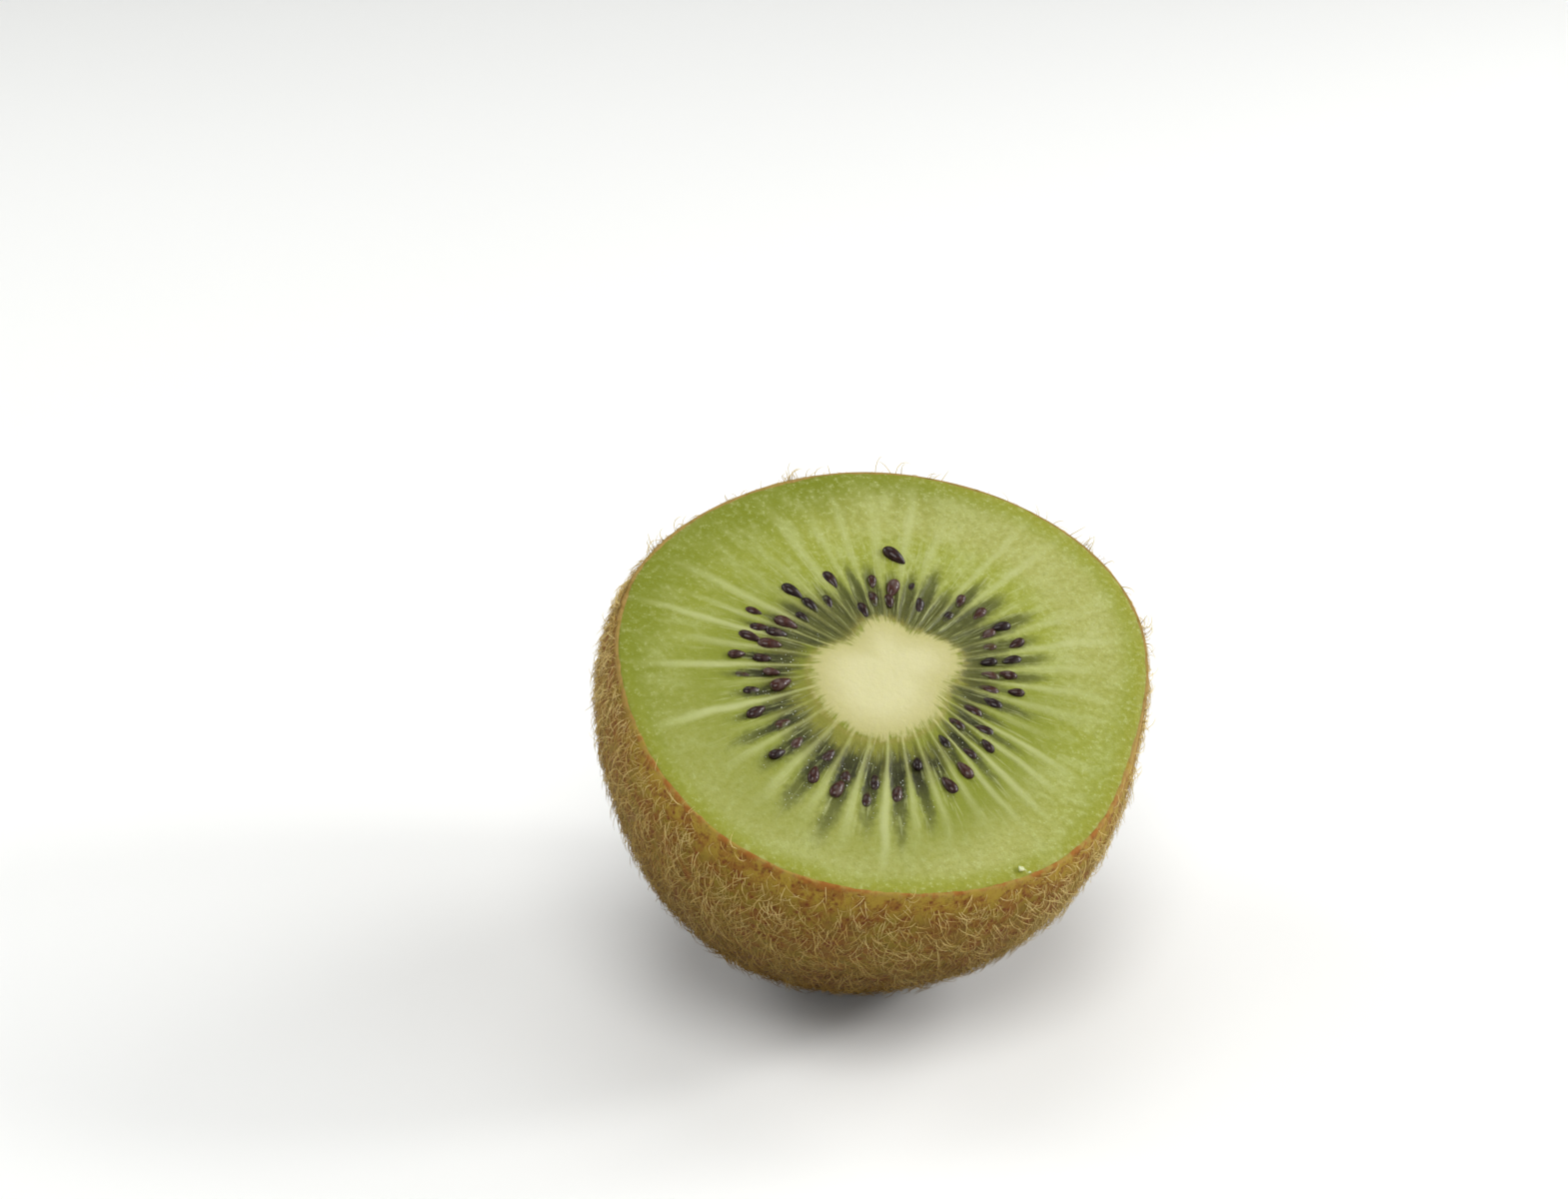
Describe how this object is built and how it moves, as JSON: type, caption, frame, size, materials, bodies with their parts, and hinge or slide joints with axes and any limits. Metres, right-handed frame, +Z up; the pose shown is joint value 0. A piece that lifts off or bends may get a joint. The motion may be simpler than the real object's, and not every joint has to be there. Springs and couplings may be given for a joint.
{
  "type": "kiwi fruit half",
  "caption": "A kiwi fruit cut across the middle: hairy skin round green flesh, with a cream core, pale rays and a ring of dark seeds on the leaning cut face",
  "frame": {"origin": "centre of the flat rest spot under the half fruit, on the surface that it lies on", "axes": "+Z up; the cut face leans 23.5 degrees toward -Y; X runs level across the cut face"},
  "size_m": [0.0559, 0.0508, 0.0417],
  "materials": {
    "skin": "thin dry olive-brown skin, felted with short tan hairs",
    "flesh": "moist translucent green flesh",
    "seed": "glossy purple-black seed coat"
  },
  "bodies": {
    "root": {"skin": "skin", "flesh": "flesh"}
  },
  "joints": []
}
